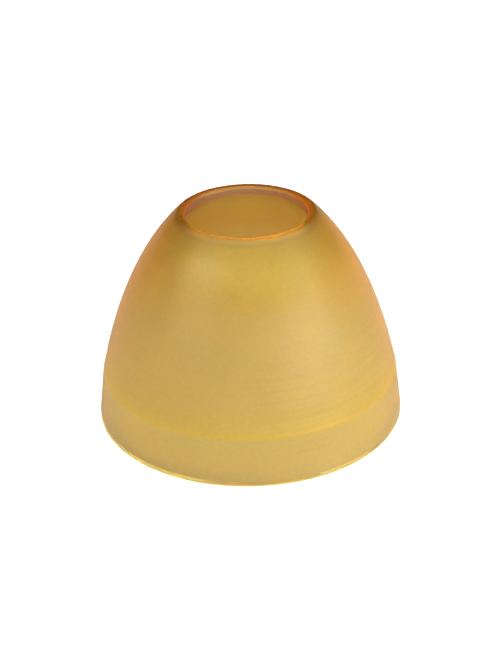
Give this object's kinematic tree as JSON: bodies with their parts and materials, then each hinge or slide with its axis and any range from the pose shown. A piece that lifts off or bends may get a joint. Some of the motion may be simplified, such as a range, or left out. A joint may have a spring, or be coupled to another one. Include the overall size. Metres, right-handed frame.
{
  "type": "glass lamp shade",
  "caption": "Dome-shaped frosted amber glass lamp shade, open at the bottom, with a ground hole on top that sits on a lamp socket and is held by the socket's ring.",
  "frame": {"origin": "centre of the bottom rim, in the plane that the rim rests on", "axes": "+Z along the shade's axis of symmetry, up from the open bottom to the fitter hole"},
  "size_m": [0.1082, 0.1082, 0.0756],
  "materials": {
    "amber_glass": "frosted"
  },
  "bodies": {
    "root": {"glass_shade": "amber_glass"}
  },
  "joints": []
}
